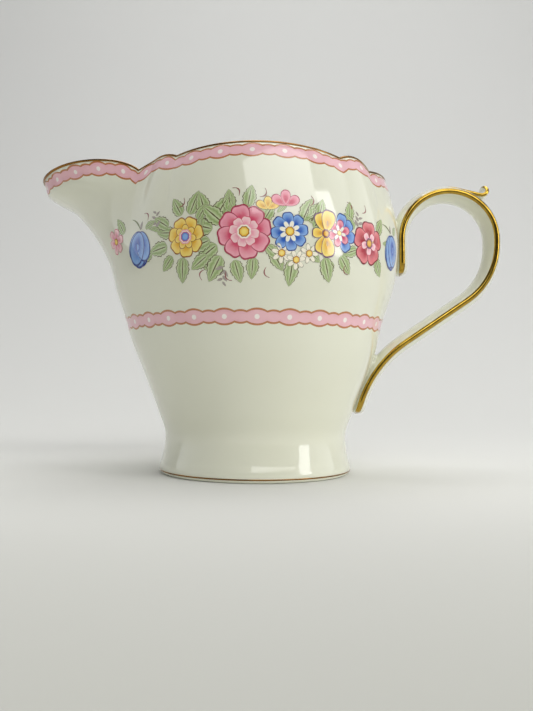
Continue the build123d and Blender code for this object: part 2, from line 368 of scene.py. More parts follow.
def border(tree, base, map_name, scale, repeat_length):
    """Adds one border to a base colour and returns the colour."""
    uv = node(tree, "ShaderNodeUVMap", {"uv_map": map_name})
    split = tree.nodes.new("ShaderNodeSeparateXYZ")
    tree.links.new(uv.socket, split.inputs[0])
    along, across = Shade(tree, split.outputs[0]), Shade(tree, split.outputs[1])
    u = (along + 0.5).fraction() - 0.5
    far = abs(u)
    v = abs(across) / scale
    long_scallop = 2.07 - (far / 0.3) ** 2.0 * 0.62
    short_scallop = 1.7 - ((far - 0.5) / 0.2) * ((far - 0.5) / 0.2) * 0.35
    edge = long_scallop.max(short_scallop) - v
    line = (edge > 0.0) * (edge < line_width)
    inside = edge > line_width
    x = u * (repeat_length / scale)
    dot = (x * x + v * v).root() < 0.6
    shade = node(tree, "ShaderNodeTexNoise", {}, Vector=node(tree, "ShaderNodeTexCoord", {}, out=3),
                 Scale=420.0, Detail=2.0)
    fill = blend_colour(tree, (shade - 0.35) * 1.2 * ((edge < 1.0) * 0.6 + 0.4), pink, pink_deep)
    colour = blend_colour(tree, inside, base, fill)
    colour = blend_colour(tree, line * 0.92, colour, ochre)
    return blend_colour(tree, dot * 0.9, colour, dot_white)


rim_repeats, waist_repeats = 35, 28
rim_scale, rim_band_drop = 0.98, 2.5
waist_band_height = 40.3
lip_turns = np.arange(361) - 90.0
lip_line = wall_point(lip_turns, lip_height(lip_turns), 0.0)
lip_arc = np.concatenate(([0], np.cumsum(np.linalg.norm(np.diff(lip_line, axis=0), axis=1))))
waist_length = 2 * pi * (collar_radius - 0.2) / waist_repeats


def printed_glaze(tree):
    base, ripple = ivory_surface(tree)
    base = border(tree, base, "RimBorder", rim_scale, float(lip_arc[-1]) / rim_repeats)
    base = border(tree, base, "WaistBorder", 1.0, waist_length)
    return {"Base_Color": base, "Normal": ripple}


body_glaze = finish("printed_glaze", printed_glaze, **gloss)
print("lip is", round(float(lip_arc[-1]), 1), "mm round, waist border repeats every", round(waist_length, 2), "mm")

# %% [markdown]
# ## The body
# The real body is slip-cast: one wall of even thickness, thicker where it turns into the floor,
# with a recess under the foot. It is pulled up here as one closed skin: from the middle of the
# recess, out over the foot ring, up the outside, over the rounded lip, and down the inside to the
# middle of the floor. Columns are placed so that each crease falls on one.

# %% Pull up the body
columns = 360
turns = np.arange(columns) + 0.5


def turned(radius, height):
    return np.stack((radius * np.cos(np.radians(turns)), radius * np.sin(np.radians(turns)),
                     np.full(columns, float(height))), -1)


def rising(level):
    share = max(level - scallop_start, 0) / (lip_level - scallop_start)
    return level + (lip_height(turns) - rim_gold_height - lip_level) * share ** 2


rows, drops = [], []
recess = foot_radius - foot_ring_width
roof = recess - recess_taper
for radius, height in ((0, recess_depth), (0.5 * roof, recess_depth), (roof - 1.2, recess_depth),
                       (roof - 0.35, recess_depth - 0.35), (roof + 0.1, recess_depth - 1.2), (recess - 0.1, 0.6),
                       (recess + 0.15, 0.15), (recess + 0.7, 0.0), (foot_radius - 1.2, 0.0),
                       (foot_radius - 0.7, 0.06)):
    rows.append(turned(radius, height))
underside = len(rows)
for level in np.concatenate(([0.35], np.linspace(0.8, lip_level, 76))):
    rows.append(wall_point(turns, rising(level), 0.0))
outside = len(rows)
for inset, drop in ((0.2, -0.22), (0.7, -0.36), (wall - 0.7, -0.36), (wall - 0.2, -0.22)):
    rows.append(wall_point(turns, lip_height(turns) - rim_gold_height - drop - 0.1, inset))
over_lip = len(rows)
for level in np.linspace(lip_level, floor_top, 52):
    share = min(max((level - floor_top) / floor_rounding, 0), 1)
    rows.append(wall_point(turns, rising(level), wall + floor_rounding * 0.8 * (1 - share) ** 3))
edge_radius = float(np.linalg.norm(rows[-1][0, :2]))
for share in (0.85, 0.5, 0.2, 0.0):
    rows.append(turned(edge_radius * share, floor_top - 0.25 * (1 - share)))
rows = np.array(rows)

jug_body, ring, column = pull("jug_body", rows)
round_turns = np.append(turns, 360.5)
lip_share = np.interp(np.mod(round_turns + 90, 360), lip_turns + 90, lip_arc) / lip_arc[-1]
front_share = np.interp(180.0, lip_turns + 90, lip_arc) / lip_arc[-1]
lip_share = lip_share + (round_turns > 270)
wide = np.concatenate((rows, rows[:, :1]), 1)
band_u = np.broadcast_to((lip_share - front_share) * rim_repeats, wide.shape[:2])
drop = lip_height(round_turns)[None] - wide[..., 2] - rim_band_drop
drop[outside:] = 50.0
drop[:underside] = 50.0
slant = np.gradient(wide, axis=0)
stretch = np.linalg.norm(slant, axis=-1) / np.maximum(np.abs(slant[..., 2]), 0.2)
unroll(jug_body, ring, column, "RimBorder", band_u, drop * np.clip(stretch, 1, 1.6))
waist_u = np.broadcast_to((round_turns - 270) / 360 * waist_repeats, wide.shape[:2])
waist_v = wide[..., 2] - waist_band_height
waist_v[outside:] = 50.0
unroll(jug_body, ring, column, "WaistBorder", waist_u, waist_v)
bake_v = np.concatenate((np.linspace(0.95, 0.99, underside), np.linspace(0.0, 0.62, outside - underside),
                         np.linspace(0.622, 0.63, over_lip - outside), np.linspace(0.635, 0.9, 52),
                         np.linspace(0.91, 0.94, 4)))
bake_u = np.broadcast_to((round_turns - 0.5) / 360, wide.shape[:2])
unroll(jug_body, ring, column, "OFBake", bake_u, np.broadcast_to(bake_v[:, None], wide.shape[:2]))
close(jug_body)
jug_body.data.materials.append(body_glaze)
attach(jug_body, "root")
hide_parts("body")
print("jug_body:", len(jug_body.data.polygons), "faces")

# %% [markdown]
# ## Gold
# Bright gold is painted on as a liquid, so it lies thin over the rim's curve with a soft edge, and
# wears where it is wiped. It is a metal with a slightly uneven roughness. Noise mixes a brown into
# its colour that is partly wear and partly a painted dark reflection.

# %% Gold finish
# The second colour of each pair is a brown that is partly wear and partly a painted dark reflection.
gold_bright, gold_worn_dark_reflection = tint(226, 190, 80), tint(116, 84, 30)
# The rim and foot gold is a darker copy of the gold, its colours a painted dark reflection.
rim_gold_reflection_light, rim_gold_wear_and_reflection = tint(176, 128, 62), tint(104, 68, 34)


def gold_surface(bright, worn_and_reflected):
    """Gold mixed by noise from bright to brown: partly rubbed wear, partly a painted dark reflection."""
    def surface(tree):
        place = node(tree, "ShaderNodeTexCoord", {}, out=3)
        # The noise mask is partly wear and partly painted dark reflection; it also varies the roughness.
        wear_and_reflection_noise = node(tree, "ShaderNodeTexNoise", {}, Vector=place, Scale=380.0, Detail=3.0)
        return {"Base_Color": blend_colour(tree, wear_and_reflection_noise, bright, worn_and_reflected), "Roughness": wear_and_reflection_noise * 0.16 + 0.06}
    return surface


gold = finish("burnished_gold", gold_surface(gold_bright, gold_worn_dark_reflection), Metallic=1.0)
# Darker gold for the rim and foot band: a painted dark reflection.
painted_reflection_gold = finish("painted_reflection_gold", gold_surface(rim_gold_reflection_light, rim_gold_wear_and_reflection), Metallic=1.0)

# %% [markdown]
# ## Rim and foot gilding
# Both are thin bands that follow an edge. Each is a small closed section carried once round the
# jug: over the lip from a little way down the outside to a little way down the inside, and round
# the foot just above the table.

# %% Gild the rim and the foot
section = [(-0.06, 0.62), (-0.07, 0.3), (0.02, 0.1), (0.3, 0.0), (wall / 2, 0.0), (wall - 0.3, 0.0),
           (wall - 0.02, 0.1), (wall + 0.07, 0.3), (wall + 0.06, 0.55), (wall - 0.4, 0.6), (0.4, 0.6), (-0.06, 0.62)]
rim_gold, _, _ = pull("rim_gold", [wall_point(turns, lip_height(turns) - drop, inset) for inset, drop in section])
foot_half = 0.22 * (foot_gold_high - foot_gold_low)
foot_middle = foot_gold_low + foot_half
section = [(0.1, -foot_half), (-0.04, -foot_half), (-0.06, 0), (-0.04, foot_half), (0.1, foot_half), (0.1, -foot_half)]
foot_gold, _, _ = pull("foot_gold", [wall_point(turns, foot_middle + rise, inset) for inset, rise in section])
for piece, node_name in ((rim_gold, "rim_gilding"), (foot_gold, "foot_gilding")):
    close(piece)
    piece.data.materials.append(painted_reflection_gold)
    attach(piece, "root")
    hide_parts(node_name)
    print(piece.name, len(piece.data.polygons), "faces")

# %% [markdown]
# ## The handle's path
# The handle is a strap of lens section, pressed in a mould of its own. Its middle line is straight
# runs joined by arcs, like a question mark: out from the wall, over the crown, down and back in.

# %% Path of straight runs and arcs
handle_reach = handle_high.x - belly_radius - 2.2
crown_top = jug_height - 3.8
strap_thickness, strap_nose, crown_radius = 4.4, 0.8, 13.2
upper_end, lower_end, tail_corner = 54.9, 16.2, 29.4
corners = np.array([
    (profile_radius(upper_end) + 1.4, upper_end), (belly_radius + 0.6, crown_top),
    (belly_radius + handle_reach, crown_top), (belly_radius + handle_reach, 53.5),
    (profile_radius(tail_corner) - 0.5, tail_corner), (profile_radius(lower_end) + 1.2, lower_end)])


def rounded_path(points, radii, spacing=0.7):
    """Points along straight runs with an arc at each inner corner, evenly spaced."""
    line = [points[0]]
    for before, corner, after, radius in zip(points, points[1:], points[2:], radii):
        into = (corner - before) / np.linalg.norm(corner - before)
        out = (after - corner) / np.linalg.norm(after - corner)
        half_turn = np.arccos(np.clip(into @ out, -1, 1)) / 2
        inward = (out - into) / np.linalg.norm(out - into)
        middle = corner + inward * radius / cos(half_turn)
        start = corner - into * radius * tan(half_turn) - middle
        side = np.array((-start[1], start[0]))
        if side @ into < 0:
            side = -side
        for t in np.linspace(0, 2 * half_turn, 24):
            line.append(middle + start * cos(t) + side * sin(t))
    line = np.array([*line, points[-1]])
    run = np.concatenate(([0], np.cumsum(np.linalg.norm(np.diff(line, axis=0), axis=1))))
    places = np.linspace(0, run[-1], int(run[-1] / spacing))
    return np.stack([np.interp(places, run, line[:, k]) for k in (0, 1)], -1)


runs = np.linalg.norm(np.diff(corners, axis=0), axis=1)
headings = np.diff(corners, axis=0) / runs[:, None]
half_turns = [np.arccos(headings[k] @ headings[k + 1]) / 2 for k in range(4)]
bend_radius = 0.87 * (runs[2] - crown_radius) / tan(half_turns[2])
tail_radius = 0.88 * runs[4] / tan(half_turns[3])
strap_path = rounded_path(corners, (crown_radius, crown_radius, bend_radius, tail_radius))
print("handle path:", len(strap_path), "points, bend", round(bend_radius, 1), "tail", round(tail_radius, 1))


# %% [markdown]
# ## The strap, its leaf and their gold
# A lens section is carried along the path with its thin edges to the sides. It shrinks in the last
# few millimetres into blunt rounded ends. The thumb rest is a thinner leaf that leaves the crown
# and curls up and back. Gold is painted over the thin edges only, so the gold strips use the same
# section cut to its two noses and stand a hair outside it.

# %% Lens section and sweep
def lens(across, half, thickness, nose):
    """Half thickness of the lens at a distance across from its middle."""
    flank = ((half - nose) ** 2 + thickness ** 2 / 4 - nose ** 2) / (thickness - 2 * nose)
    touch = (half - nose) * flank / (flank - nose)
    far = np.abs(across)
    body = np.sqrt(np.maximum(flank ** 2 - far ** 2, 0)) - (flank - thickness / 2)
    tip = np.sqrt(np.maximum(nose ** 2 - np.maximum(far - (half - nose), 0) ** 2, 0))
    return np.where(far > touch, tip, body)


def carried(path, outline, shrink):
    """Rows of a section carried along a path in the XZ plane. outline is (across, through) in mm."""
    ahead = np.gradient(path, axis=0)
    ahead /= np.linalg.norm(ahead, axis=1, keepdims=True)
    normal = np.stack((-ahead[:, 1], ahead[:, 0]), -1)
    across, through = outline
    x = path[:, 0, None] + normal[:, 0, None] * through * shrink[1][:, None]
    z = path[:, 1, None] + normal[:, 1, None] * through * shrink[1][:, None]
    return np.stack((x, np.broadcast_to(across * shrink[0][:, None], x.shape), z), -1)


def blunt(path, start, end):
    """Shares of width and thickness along a path that rounds off over start and end mm."""
    run = np.concatenate(([0], np.cumsum(np.linalg.norm(np.diff(path, axis=0), axis=1))))
    near = np.minimum(run / start, (run[-1] - run) / end).clip(0, 1)
    share = np.sqrt(1 - (1 - near) ** 2)
    return share, np.sqrt(share)


around = 56
swing = np.arange(around) * 2 * pi / around
half_width = strap_width / 2


def lens_outline(half, thickness, nose):
    across = half * np.cos(swing)
    return across, np.sign(np.sin(swing)) * lens(across, half, thickness, nose)


def nose_outline(side, half, thickness, nose, width, lift=0.05):
    """Closed section over one thin edge of the lens, a hair outside it."""
    spread = np.linspace(-1, 1, 15)
    across = half - width * spread ** 2
    out_across, out_through = across + lift, np.sign(spread) * (lens(across, half, thickness, nose) + lift)
    in_across, in_through = out_across[::-1] - 0.3, out_through[::-1] * 0.8
    return (side * np.concatenate((out_across, in_across)), np.concatenate((out_through, in_through)))


# %% Strap and gold strips
strap_shrink = blunt(strap_path, 3.0, 3.5)
handle_strap, _, _ = pull("handle_strap", carried(
    strap_path, lens_outline(half_width, strap_thickness, strap_nose), strap_shrink))
gold_strips = [pull(name, carried(strap_path, nose_outline(
    side, half_width, strap_thickness, strap_nose, 0.55), strap_shrink))[0]
    for name, side in (("handle_gold_left", -1), ("handle_gold_right", 1))]

# %% Thumb leaf
crown_middle = np.array((belly_radius + handle_reach - crown_radius, crown_top - crown_radius))
leaf_angle, leaf_run, curl_radius, curl_turn, leaf_rise = radians(78), 6.3, 1.6, radians(165), 1.0
leaf_root = crown_middle + (crown_radius + leaf_rise) * np.array((cos(leaf_angle), sin(leaf_angle)))
leaf_heading = np.array((sin(leaf_angle), -cos(leaf_angle)))
leaf_normal = np.array((cos(leaf_angle), sin(leaf_angle)))
curl = np.linspace(0, curl_turn, 26)[1:, None]
curl_start = leaf_root + leaf_heading * leaf_run
leaf_path = np.concatenate((
    leaf_root + leaf_heading * np.linspace(-4.5, leaf_run, 14)[:, None],
    curl_start + curl_radius * (leaf_heading * np.sin(curl) + leaf_normal * (1 - np.cos(curl)))))
leaf_half, leaf_thickness, leaf_nose = 3.8, 2.0, 0.55
leaf_shrink = blunt(leaf_path, 4.0, 3.4)
thumb_leaf, _, _ = pull("thumb_leaf", carried(
    leaf_path, lens_outline(leaf_half, leaf_thickness, leaf_nose), leaf_shrink))
leaf_gold = [pull(name, carried(leaf_path, nose_outline(
    side, leaf_half, leaf_thickness, leaf_nose, 0.3), leaf_shrink))[0]
    for name, side in (("leaf_gold_left", -1), ("leaf_gold_right", 1))]

for piece in (handle_strap, thumb_leaf):
    close(piece)
    piece.data.materials.append(glaze)
    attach(piece, "root")
for piece in (*gold_strips, *leaf_gold):
    close(piece)
    piece.data.materials.append(gold)
    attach(piece, "root")
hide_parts("handle")
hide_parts("handle_gilding_left")
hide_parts("handle_gilding_right")
print("handle:", len(handle_strap.data.polygons), "faces, leaf tip at", np.round(leaf_path[-1], 1))

# %% [markdown]
# ## The luting
# The strap doesn't touch the wall: it is stuck on with slip, and what shows is a narrow web of
# glazed porcelain between strap and wall, flared a little where it meets each. Each web is a
# rounded slot shape carried from inside the wall to the middle of the strap.

# %% Webs between strap and wall
def web(name, node_name, path_part):
    low, high = (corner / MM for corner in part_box(node_name))
    half_y, half_z = (high.y - low.y) / 2, (high.z - low.z) / 2
    swing = np.arange(48) * 2 * pi / 48
    y = np.clip(half_y * np.cos(swing) * 1.25, -half_y, half_y)
    z = (low.z + high.z) / 2 + half_z * np.sign(np.sin(swing)) * np.abs(np.sin(swing)) ** 0.8
    order = np.argsort(path_part[:, 1])
    web_rows = []
    for share, flare in ((-0.25, 0.2), (0.0, 0.12), (0.2, -0.12), (0.5, -0.22), (0.8, -0.1), (1.0, 0.0), (1.3, 0.0)):
        yy = y * (1 + flare / half_y)
        zz = (low.z + high.z) / 2 + (z - (low.z + high.z) / 2) * (1 + flare / half_z)
        wall_x = sqrt_x(yy, zz)
        strap_x = np.interp(zz, path_part[order, 1], path_part[order, 0])
        web_rows.append(np.stack((wall_x + (strap_x - wall_x) * share * 0.8, yy, zz), -1))
    middle_row = web_rows[-1].mean(0)
    web_rows.append(np.broadcast_to(middle_row, web_rows[-1].shape))
    web_rows.insert(0, np.broadcast_to(web_rows[0].mean(0), web_rows[0].shape))
    piece, _, _ = pull(name, web_rows)
    close(piece)
    piece.data.materials.append(glaze)
    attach(piece, "root")
    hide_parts(node_name)
    print(name, len(piece.data.polygons), "faces")


def sqrt_x(y, z):
    """Distance from the axis plane to the wall at a place beside the handle."""
    radius = outline_radius(np.zeros_like(y), z)
    return np.sqrt(np.maximum(radius ** 2 - y ** 2, 0))


rising_part = strap_path[:int(len(strap_path) * 0.16)]
falling_part = strap_path[int(len(strap_path) * 0.72):]
web("upper_web", "upper_handle_joint", rising_part)
web("lower_web", "lower_handle_joint", falling_part)

# %% [markdown]
# ## The enamel sprays
# Half-way up the bowl a garland of garden flowers runs across the front and again across the back:
# a tulip at each end, then a poppy, yellow blooms, a large pink bloom in the middle and a blue one
# beside it, with daisies, buds and serrated leaves between. Such a print has a fine dark outline
# and colour filled in by hand, so each petal and leaf is a thin patch of enamel: an outline, a
# darker edge and a lighter middle, held as a colour on its points. Each kind is drawn once, and
# copies are laid on the wall by its formula, each a hundredth of a millimetre above the last.

# %% Draw a patch
patch_points = 36
leaf_points = 54
spin_round = np.arange(patch_points) * 2 * pi / patch_points


def patch(name, outline, colours, shares, heart):
    """Flat patch in mm. colours and shares run from the edge to the heart of the patch."""
    flat = [heart + (outline - heart) * share for share in shares]
    patch_rows = [np.concatenate((row, np.zeros((len(row), 1))), -1) for row in flat]
    piece, ring, _ = pull(name, patch_rows)
    layer = piece.data.color_attributes.new("Enamel", "FLOAT_COLOR", "POINT")
    layer.data.foreach_set("color", np.array(colours, np.float32)[ring].ravel())
    return close(piece, merge=2e-8, recalculate=False)


def petal(name, length, width, edge, dark, light, notch=0.0, fullness=0.45):
    """Rounded petal that grows from the origin along +X."""
    x = length * (1 - np.cos(spin_round)) / 2
    y = width / 2 * np.sin(spin_round) * (x / length) ** fullness
    x = x - notch * np.exp(-(y / (0.2 * width)) ** 2) * (x > 0.6 * length)
    middle = 0.4 * np.array(dark) + 0.6 * np.array(light)
    deep = 0.5 * np.array(dark) + 0.5 * np.array(edge)
    return patch(name, np.stack((x, y), -1), (edge, edge, light, middle, dark, deep),
                 (1.0, 0.93, 0.88, 0.62, 0.35, 0.0), np.array((0.34 * length, 0.0)))


def leaf(name, length, width, edge, dark, light, teeth=6, bend=0.0):
    """Pointed leaf along +X with a toothed edge and a dark vein down its middle."""
    swing = np.arange(leaf_points) * 2 * pi / leaf_points
    x = length * (1 - np.cos(swing)) / 2
    share = x / length
    tooth = 0.8 + 0.34 * np.mod(teeth * share + 0.2, 1) if teeth else 1
    y = width / 2 * np.sign(np.sin(swing)) * share ** 0.6 * (1 - share) ** 0.95 / 0.355 * tooth
    full = np.stack((x, y + bend * (x / length - 0.5) ** 2 * 4 - bend), -1)
    vein = np.stack((0.04 * length + x * 0.9, bend * (x / length - 0.5) ** 2 * 4 - bend), -1)
    flat = [vein + (full - vein) * share for share in (1.0, 0.9, 0.86, 0.5, 0.1, 0.07, 0.0)]
    rows = [np.concatenate((row, np.zeros((len(row), 1))), -1) for row in flat]
    piece, ring, _ = pull(name, rows)
    layer = piece.data.color_attributes.new("Enamel", "FLOAT_COLOR", "POINT")
    shades = np.array((edge, edge, light, dark, light, edge, edge), np.float32)
    layer.data.foreach_set("color", shades[ring].ravel())
    return close(piece, merge=2e-8, recalculate=False)


def disc(name, radius, edge, dark, light, lobes=0):
    """Round patch, with a scalloped edge when it has lobes."""
    reach = radius * (1 + (0.12 * np.abs(np.sin(lobes * spin_round / 2)) if lobes else 0))
    outline = np.stack((reach * np.cos(spin_round), reach * np.sin(spin_round)), -1)
    return patch(name, outline, (edge, edge, dark, light, light), (1.0, 0.86, 0.8, 0.4, 0.0), np.zeros(2))


# %% Colours of the enamels
brown, leaf_green, leaf_pale = tint(88, 80, 48), tint(140, 166, 100), tint(206, 218, 172)
rose_edge, rose, rose_pale = tint(168, 44, 76), tint(216, 84, 114), tint(243, 168, 184)
red_edge, red, red_pale = tint(118, 16, 36), tint(180, 30, 50), tint(232, 130, 134)
blue_edge, blue, blue_pale = tint(28, 54, 136), tint(52, 100, 190), tint(138, 180, 234)
gold_edge, yellow, yellow_pale = tint(150, 84, 30), tint(236, 182, 48), tint(252, 226, 120)
plum, cream = tint(112, 70, 118), tint(252, 246, 226)

# %% Motifs: each petal and leaf is drawn once
motifs = {
    "rose": petal("rose_petal", 6.5, 5.4, rose_edge, rose, rose_pale, 0.5),
    "rose_inner": petal("rose_inner_petal", 3.9, 2.9, rose, rose_pale, tint(250, 214, 214), 0.3),
    "blue": petal("blue_petal", 4.8, 3.5, blue_edge, blue, blue_pale, 0.3),
    "blue_inner": petal("blue_inner_petal", 2.9, 1.5, blue_pale, cream, cream),
    "yellow": petal("yellow_petal", 4.9, 4.3, gold_edge, yellow, yellow_pale, 0.35),
    "poppy": petal("poppy_petal", 5.8, 6.4, red_edge, red, red_pale, 0.5),
    "pansy": petal("pansy_petal", 4.2, 3.4, plum, yellow, yellow_pale, 0.2),
    "daisy": petal("daisy_petal", 1.9, 1.0, tint(150, 146, 130), cream, cream),
    "bud_yellow": petal("yellow_bud", 4.0, 2.9, gold_edge, yellow, yellow_pale),
    "bud_pink": petal("pink_bud", 3.9, 3.0, rose_edge, rose, rose_pale),
    "tulip": petal("tulip_petal", 9.0, 6.6, blue_edge, blue, blue_pale, 0.0, 0.05),
    "leaf": leaf("leaf", 6.7, 4.2, brown, leaf_green, leaf_pale),
    "leaf_small": leaf("small_leaf", 4.2, 2.2, brown, leaf_green, leaf_pale, 4),
    "leaf_long": leaf("long_leaf", 6.6, 2.0, brown, leaf_green, leaf_pale, 9, 0.7),
    "stem": leaf("stem", 5.0, 0.42, brown, brown, leaf_green, 0, 0.5),
    "tendril": leaf("tendril", 2.6, 0.3, rose_edge, rose_edge, brown, 0, 0.9),
    "sprig": leaf("sprig_leaf", 1.9, 0.8, tint(120, 108, 104), tint(150, 140, 134), tint(190, 182, 170), 0),
    "heart_yellow": disc("yellow_heart", 1.35, gold_edge, yellow, yellow_pale, 8),
    "heart_small": disc("small_heart", 0.62, gold_edge, yellow, yellow_pale, 6),
    "heart_blue": disc("blue_heart", 1.4, rose, blue, blue_pale, 8),
    "heart_red": disc("red_heart", 1.2, plum, red_edge, yellow, 8),
    "ring_pale": disc("pale_ring", 2.1, rose_pale, cream, cream, 8),
}
shapes = {}
for kind, drawn in motifs.items():
    spot = np.empty(len(drawn.data.vertices) * 3, np.float32)
    drawn.data.vertices.foreach_get("co", spot)
    shapes[kind] = spot.reshape(-1, 3) / MM
print(len(motifs), "motifs of about", len(motifs["leaf"].data.polygons), "faces")

# %% Lay copies on the wall
laid = []
ground_lift, level_lift, order_lift = 0.025, 0.035, 0.0035
levels = {"leaf": 0, "leaf_small": 0, "leaf_long": 0, "stem": 0, "tendril": 0, "sprig": 0,
          "rose_inner": 2, "bud_yellow": 2, "bud_pink": 2, "pansy": 3, "blue_inner": 3, "ring_pale": 3,
          "heart_yellow": 4, "heart_small": 4, "heart_red": 4, "heart_blue": 4}


def lay(kind, side, along, height, turn, size=1.0, forward=0.0):
    """One copy: along is degrees from the middle of the side, turn is its direction in degrees."""
    spin = radians(turn)
    flat = shapes[kind] * size
    flat_x = (flat[:, 0] + forward) * cos(spin) - flat[:, 1] * sin(spin)
    flat_z = (flat[:, 0] + forward) * sin(spin) + flat[:, 1] * cos(spin)
    radius = float(outline_radius(side + along, height))
    angle = side + along + np.degrees(flat_x / radius)
    lift = ground_lift + level_lift * levels.get(kind, 1) + order_lift * (len(laid) % 9)
    copy = motifs[kind].copy()
    copy.data = motifs[kind].data.copy()
    bpy.context.scene.collection.objects.link(copy)
    points = wall_point(angle, height + flat_z, -lift) * MM
    copy.data.vertices.foreach_set("co", points.astype(np.float32).ravel())
    laid.append(copy)


def flower(kind, side, along, height, count, size=1.0, tilt=0.0, forward=0.0):
    for k in range(count):
        lay(kind, side, along, height, tilt + 360 * k / count, size, forward)


def daisy(side, along, height, size=1.0):
    flower("daisy", side, along, height, 7, size, 20 * along)
    lay("heart_small", side, along, height, 0, size)


def tulip(side, along, height, lean, size=1.0):
    """Drooping bell of five petals with its stem and two leaves."""
    lay("stem", side, along, height + 3.5, lean + 150, 1.0)
    for spread, share in ((-24, 0.86), (24, 0.86), (-11, 0.96), (11, 0.96), (0, 1.0)):
        lay("tulip", side, along, height + 3.0, lean + spread - 90, size * share)
    lay("leaf_small", side, along + 3, height + 3.6, lean + 30, 0.9)
    lay("sprig", side, along, height + 3.4, lean + 80, 1.2)


def sprig(side, along, height, lean):
    for k in range(6):
        lay("sprig", side, along + 0.35 * k * cos(radians(lean)), height + 0.7 * k * sin(radians(lean)),
            lean + (55 if k % 2 else -55), 1.1 - 0.08 * k)


def garland(side):
    """The whole spray for one side of the jug."""
    for along, height, turn, size in (
            (-24.2, 64.0, 70, 0.9), (-27.5, 64.0, 125, 0.8), (-14.9, 62.2, 60, 1.0), (-18.0, 63.6, 110, 0.9),
            (-16.4, 57.7, 200, 0.9), (-12.8, 54.0, 240, 1.0), (-17.5, 54.2, 215, 0.8), (-8.0, 53.0, 285, 0.8),
            (-26.9, 54.0, 260, 0.9), (-31.5, 54.5, 225, 0.7), (-33.5, 57.0, 190, 0.9), (-20.5, 55.0, 300, 0.8),
            (4.9, 55.3, 300, 0.8), (12.2, 53.2, 265, 0.9), (15.3, 62.4, 65, 0.9), (19.2, 61.0, 40, 0.9),
            (20.0, 57.5, 340, 0.8), (24.0, 54.2, 290, 0.9), (27.0, 53.6, 250, 0.7), (30.5, 55.0, 310, 0.8),
            (-15.5, 60.2, 165, 1.0), (-14.0, 56.5, 215, 0.9), (3.0, 56.2, 320, 0.7), (18.0, 62.0, 60, 0.9),
            (19.0, 59.8, 20, 0.8), (-12.0, 61.6, 140, 1.0), (36.5, 61.8, 130, 0.7), (-30.5, 60.0, 175, 0.8),
            (-1.5, 53.6, 265, 0.75), (-9.5, 64.2, 95, 0.8), (-3.5, 65.2, 80, 0.8), (2.0, 62.0, 60, 0.7),
            (-33.0, 61.5, 150, 0.8), (-21.0, 62.5, 60, 0.7), (17.0, 56.0, 320, 0.7), (21.5, 63.5, 75, 0.7),
            (49.5, 62.0, 50, 0.8), (49.0, 55.6, 310, 0.8), (38.0, 57.0, 200, 0.7), (34.5, 64.0, 80, 0.7),
            (-41.0, 56.0, 200, 0.7), (-58.0, 62.0, 120, 0.7)):
        lay("leaf", side, along, height, turn, size)
    for along, height, turn in ((-20.0, 60.0, 95), (0.5, 63.8, 70), (6.5, 64.0, 60), (-36.0, 60.5, 165),
                                (35.0, 59.5, 10), (23.0, 63.0, 95), (-10.0, 64.0, 80), (54.0, 60.0, 20)):
        lay("leaf_long", side, along, height, turn, 0.7)
    for along, height, turn in ((-29.0, 66.0, 60), (-6.5, 67.8, 130), (0.5, 67.5, 60), (18.0, 66.0, 80),
                                (-19.0, 51.0, 250), (3.0, 51.5, 290), (27.0, 51.5, 255), (35.5, 66.0, 110),
                                (41.0, 66.2, 60), (-43.5, 64.0, 130), (-11.0, 50.6, 300), (33.0, 53.0, 300)):
        lay("tendril", side, along, height, turn, 1.0)
    sprig(side, -39.0, 62.0, 100)
    sprig(side, 38.5, 62.0, 70)
    sprig(side, 22.5, 62.5, 95)
    sprig(side, -12.0, 51.5, 250)
    tulip(side, -47.6, 58.6, -8)
    tulip(side, 61.5, 59.8, 10)
    flower("yellow", side, -25.7, 58.8, 7, 1.05, 15)
    flower("bud_yellow", side, -25.7, 58.8, 7, 0.75, 40)
    lay("ring_pale", side, -25.7, 58.8, 0, 0.75)
    lay("heart_blue", side, -25.7, 58.8, 0, 0.8)
    flower("rose", side, -4.6, 59.4, 8, 1.05, 12)
    flower("rose_inner", side, -4.6, 59.4, 8, 1.0, 35)
    lay("ring_pale", side, -4.6, 59.4, 0, 0.85)
    lay("heart_yellow", side, -4.6, 59.4, 0, 0.85)
    lay("stem", side, 2.0, 62.5, 70, 0.6)
    for turn in (35, 145, 90):
        lay("bud_yellow", side, 3.3, 64.6, turn, 0.8)
        lay("bud_pink", side, 9.4, 65.6, turn, 1.0)
    flower("blue", side, 10.8, 59.7, 8, 1.0, 8)
    flower("blue_inner", side, 10.8, 59.7, 8, 0.9, 30)
    lay("heart_yellow", side, 10.8, 59.7, 0, 0.75)
    for along, height, size in ((8.2, 54.7, 1.3), (13.4, 53.3, 1.25), (18.0, 54.9, 1.25)):
        daisy(side, along, height, size)
    for turn in (-55, -10, 35, 75):
        lay("blue", side, 29.5, 60.3, turn, 1.1)
    flower("bud_pink", side, 29.5, 60.3, 6, 0.85, 20)
    flower("blue_inner", side, 29.5, 60.3, 6, 0.7, 50)
    lay("heart_small", side, 29.5, 60.3, 0)
    for turn, size in ((112, 1.3), (78, 1.45), (250, 1.25), (282, 1.4), (180, 0.9)):
        lay("pansy", side, 24.0, 59.8, turn, size)
    lay("heart_red", side, 24.0, 59.8, 0, 0.8)
    flower("poppy", side, 44.2, 59.0, 5, 1.0, 18)
    flower("rose_inner", side, 44.2, 59.0, 5, 0.8, 54)
    lay("heart_red", side, 44.2, 59.0, 0)
    lay("bud_yellow", side, 44.2, 59.0, 30, 0.5)
    flower("rose_inner", side, -63.6, 60.5, 6, 0.9, 10)
    lay("heart_yellow", side, -63.6, 60.5, 0, 0.6)


# %% Enamel finish and both sprays
def enamel_surface(tree):
    drawn = node(tree, "ShaderNodeVertexColor", {"layer_name": "Enamel"})
    place = node(tree, "ShaderNodeTexCoord", {}, out=3)
    mottle = node(tree, "ShaderNodeTexNoise", {}, Vector=place, Scale=900.0, Detail=2.0)
    return {"Base_Color": blend_colour(tree, (mottle - 0.4) * 0.3, drawn, tint(250, 244, 230))}


